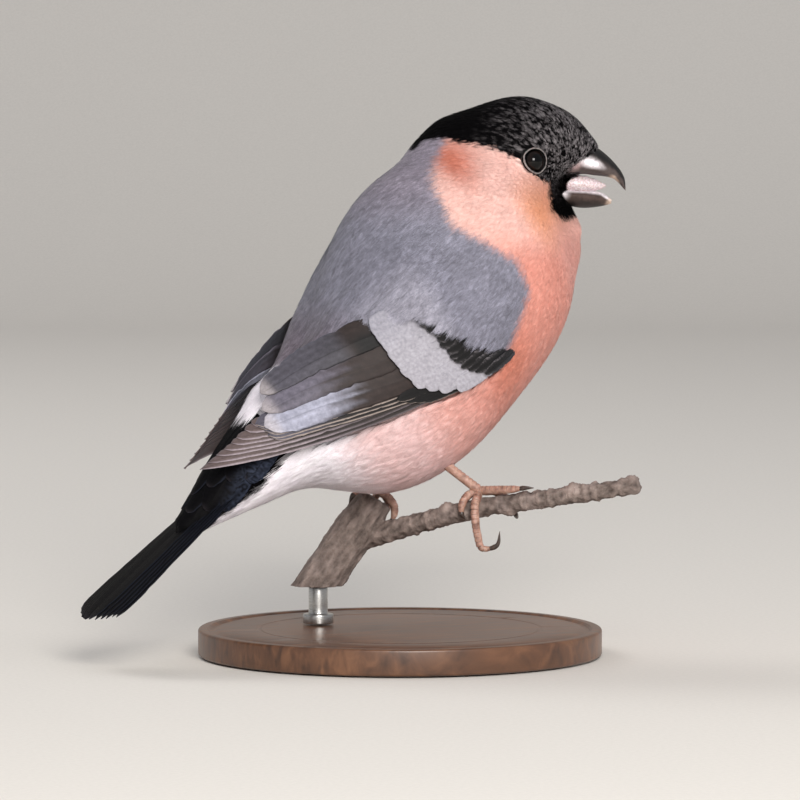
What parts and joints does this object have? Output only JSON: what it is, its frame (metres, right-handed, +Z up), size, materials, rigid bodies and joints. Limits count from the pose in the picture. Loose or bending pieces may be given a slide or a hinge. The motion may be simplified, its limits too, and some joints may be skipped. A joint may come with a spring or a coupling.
{
  "type": "bullfinch",
  "caption": "Life-size model of a male bullfinch gripping a cut length of branch, its head turned to its right, on a round wooden stand.",
  "frame": {"origin": "middle of the stand's underside", "axes": "+X the way the bird's body faces, +Y its left side, +Z up"},
  "size_m": [0.1279, 0.092, 0.1267],
  "materials": {
    "pink_feathers": "soft, matt",
    "black_feathers": "soft sheen",
    "grey_feathers": "soft, matt",
    "white_feathers": "soft, matt",
    "horn": "smooth, slightly glossy horn",
    "eye": "wet and glossy",
    "leg_skin": "scaly, matt",
    "bark": "rough bark",
    "stand_wood": "satin lacquer",
    "stand_steel": "brushed"
  },
  "bodies": {
    "root": {"torso": "pink_feathers", "neck": "pink_feathers", "rump": "white_feathers", "head": "black_feathers", "eye_right": "eye", "eye_left": "eye", "bill_upper": "horn", "bill_lower": "horn", "wing_right": "grey_feathers", "wing_left": "grey_feathers", "tail": "black_feathers", "perch_limb": "bark", "perch_twig": "bark", "leg_right": "leg_skin", "leg_left": "leg_skin", "stand_base": "stand_wood", "stand_rod": "stand_steel"}
  },
  "joints": []
}
